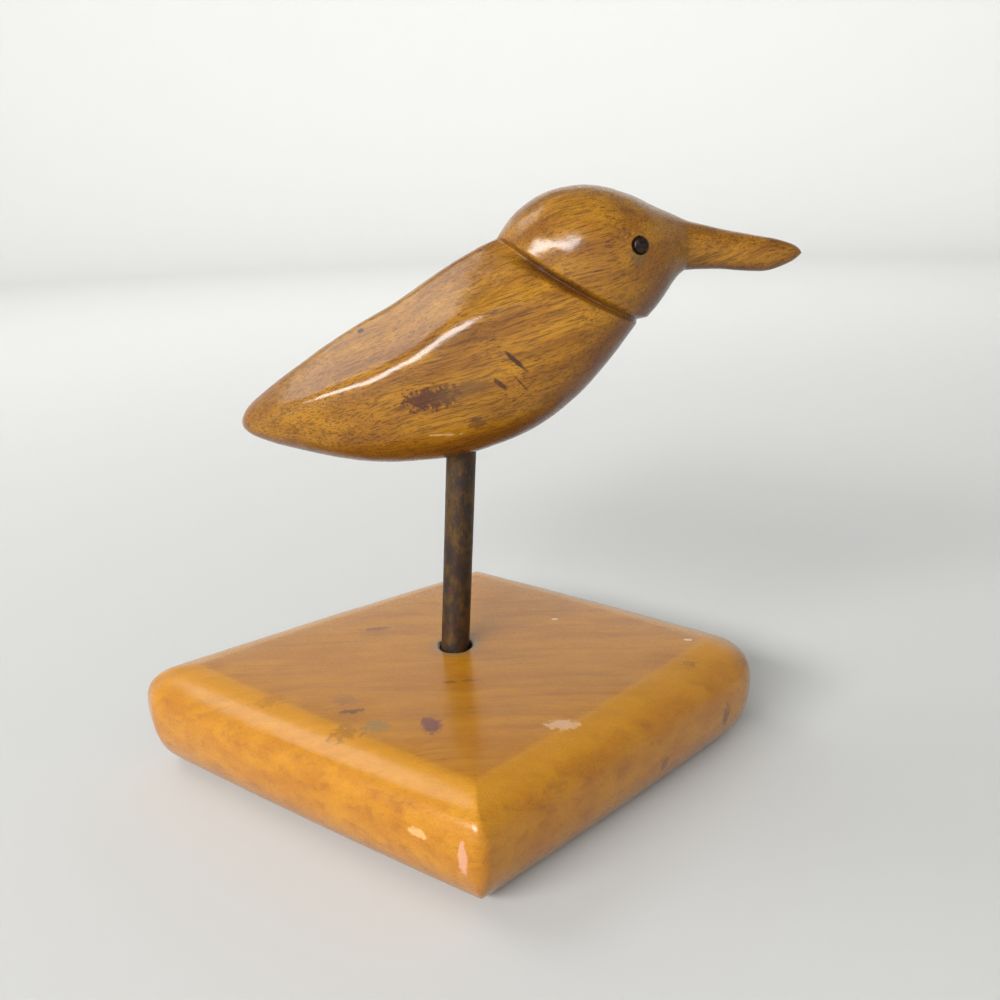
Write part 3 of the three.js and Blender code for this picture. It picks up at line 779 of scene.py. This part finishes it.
GRAIN_RISE = radians(16)
LIGHT_OCHRE = (0.34, 0.150, 0.007, 1)
DEEP_OCHRE = (0.21, 0.078, 0.005, 1)
OCHRE_STREAK = (0.055, 0.016, 0.003, 1)
# Painted shade: the red-brown that the underside of the bird is darkened towards.
UNDERSIDE_SHADE_BROWN = (0.085, 0.018, 0.007, 1)
# Painted shade: the dark brown that the groove is darkened towards where it is cut deeper.
GROOVE_SHADE_BROWN = (0.07, 0.022, 0.008, 1)
BIRD_STAINS = (
    ("knot", (0.05, 0.012, 0.006), 0.85, (-0.8, -10.3, 83.1), (5.0, 4, 2.0), (0, -0.15, 0), 0.8),
    ("smoky tail of the knot", (0.10, 0.05, 0.015), 0.5, (6.0, -10.4, 84.6), (6.0, 4, 1.6), (0, -0.3, 0), 0.5),
    ("hooked gouge", (0.03, 0.008, 0.004), 0.9, (16.0, -10.2, 90.0), (2.4, 3, 0.45), (0, 0.75, 0), 0.25),
    ("second gouge", (0.06, 0.015, 0.006), 0.7, (17.0, -10.0, 85.6), (2.0, 3, 0.22), (0, 0.85, 0), 0.2),
    ("third gouge", (0.04, 0.010, 0.005), 0.85, (13.0, -10.3, 85.6), (1.7, 3, 0.5), (0, 0.7, 0), 0.25),
    ("low blotch", (0.07, 0.02, 0.008), 0.6, (8.5, -9.1, 77.6), (1.6, 4, 1.5), (0, 0, 0), 0.9),
    ("chip on the back", (0.02, 0.008, 0.004), 0.9, (-14.6, 1.1, 95.0), (0.8, 1.4, 0.5), (0, -0.3, 0), 0.5),
    ("pale scratch", (0.55, 0.36, 0.20), 0.5, (1.4, -9.0, 75.6), (2.8, 3, 0.25), (0, 0, 0), 0.6),
    ("olive smudge by the eye", (0.10, 0.065, 0.02), 0.6, (39.6, -8.0, 108.2), (1.8, 3, 1.5), (0, 0, 0), 0.5),
)


def ochre_wood():
    material = bpy.data.materials.new("ochre_lacquered_wood")
    material.use_nodes = True
    tree = material.node_tree
    shader = tree.nodes["Principled BSDF"]
    straight = place_in_mm(tree)
    place = place_in_mm(tree, "along the rising grain", (0, GRAIN_RISE, 0))
    grain = use_group(tree, TIMBER_GRAIN, Place=place)
    colour = blend(tree, "clouds", grain["Cloud"], DEEP_OCHRE, LIGHT_OCHRE)
    streak = maths(tree, "MULTIPLY", "streak strength", grain["Streak"], 0.55)
    colour = blend(tree, "streaks", streak, colour, OCHRE_STREAK)
    pore = maths(tree, "MULTIPLY", "pore strength", grain["Pore"], 0.75)
    colour = blend(tree, "pores", pore, colour, OCHRE_STREAK)
    band = maths(tree, "MULTIPLY", "band strength", grain["Band"], 0.25)
    colour = blend(tree, "bands", band, colour, OCHRE_STREAK)
    colour = spots(tree, straight, colour, BIRD_STAINS)
    # Painted shade: the underside of body, head and beak is darkened towards red-brown.
    underside_shade = maths(tree, "MULTIPLY", "underside shade strength", attribute(tree, "underside_shade"), 0.8)
    colour = blend(tree, "painted shade on the underside", underside_shade, colour, UNDERSIDE_SHADE_BROWN)
    # Painted shade: the groove is darkened by how deep it is cut.
    recess = maths(tree, "MULTIPLY", "recess strength", attribute(tree, "recess"), 0.85)
    colour = blend(tree, "painted shade in the groove", recess, colour, GROOVE_SHADE_BROWN)
    tree.links.new(colour, shader.inputs["Base Color"])
    tree.links.new(ramp(tree, "gloss", grain["Fleck"], 0, 1, 0.22, 0.42), shader.inputs["Roughness"])
    pits = maths(tree, "MULTIPLY", "pits where it was cut across", grain["Fleck"], attribute(tree, "carved"))
    lines = maths(tree, "MULTIPLY", "filled grain", maths(tree, "ADD", "grain", grain["Pore"], grain["Streak"]), 0.25)
    height = maths(tree, "ADD", "relief", pits, lines)
    bump = add_node(tree, "ShaderNodeBump", "relief", Height=height, Strength=0.6, Distance=0.00010)
    bump.invert = True
    tree.links.new(bump.outputs[0], shader.inputs["Normal"])
    shader.inputs["Specular IOR Level"].default_value = 0.1
    shader.inputs["Coat Weight"].default_value = 0.7
    shader.inputs["Coat Roughness"].default_value = 0.18
    shader.inputs["Coat IOR"].default_value = 1.45
    return material


bird.data.materials.clear()
bird.data.materials.append(ochre_wood())
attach(bird, "root")
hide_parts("bird")

# Eyes: dark domed nail heads, one pressed into a drilled hole on each side of the head.
NAIL_SIDES = 48
NAIL_PROFILE = ((1.0, -1.1), (1.0, 0.02), (0.985, 0.14), (0.93, 0.24), (0.84, 0.30), (0.70, 0.36), (0.45, 0.45), (0.22, 0.52))


def nail_metal():
    material = bpy.data.materials.new("dark_nail_metal")
    material.use_nodes = True
    tree = material.node_tree
    shader = tree.nodes["Principled BSDF"]
    place = place_in_mm(tree)
    worn = noise_field(tree, "worn patches", place, (1.6, 1.6, 1.6), 4.0, 0.65)
    colour = blend(tree, "dark oxide", ramp(tree, "worn", worn, 0.40, 0.65), (0.010, 0.006, 0.006, 1), (0.055, 0.032, 0.022, 1))
    tree.links.new(colour, shader.inputs["Base Color"])
    tree.links.new(ramp(tree, "dullness", worn, 0.35, 0.70, 0.30, 0.50), shader.inputs["Roughness"])
    bump = add_node(tree, "ShaderNodeBump", "hammered", Height=worn, Strength=0.3, Distance=0.00008)
    tree.links.new(bump.outputs[0], shader.inputs["Normal"])
    shader.inputs["Metallic"].default_value = 0.7
    return material


dark_nail = nail_metal()
for side, seat in EYE_SEATS.items():
    rings = []
    for reach, height in NAIL_PROFILE:
        angles = [2 * pi * step / NAIL_SIDES for step in range(NAIL_SIDES)]
        radius = EYE_RADIUS * reach
        rise = height * MM if height < 0 else height * EYE_DOME / 0.55
        rings.append([(radius * cos(angle), radius * sin(angle), rise) for angle in angles])
    nail = extrude_through("nail_eye_" + side, rings, (0, 0, -EYE_SINK), (0, 0, EYE_DOME), ())
    finish_with(nail, "SUBSURF", levels=1, render_levels=1)
    nail.data.transform(seat)
    bpy.ops.object.shade_smooth_by_angle(angle=radians(50))
    nail.data.materials.append(dark_nail)
    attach(nail, "root")
    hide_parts("eye_" + side)
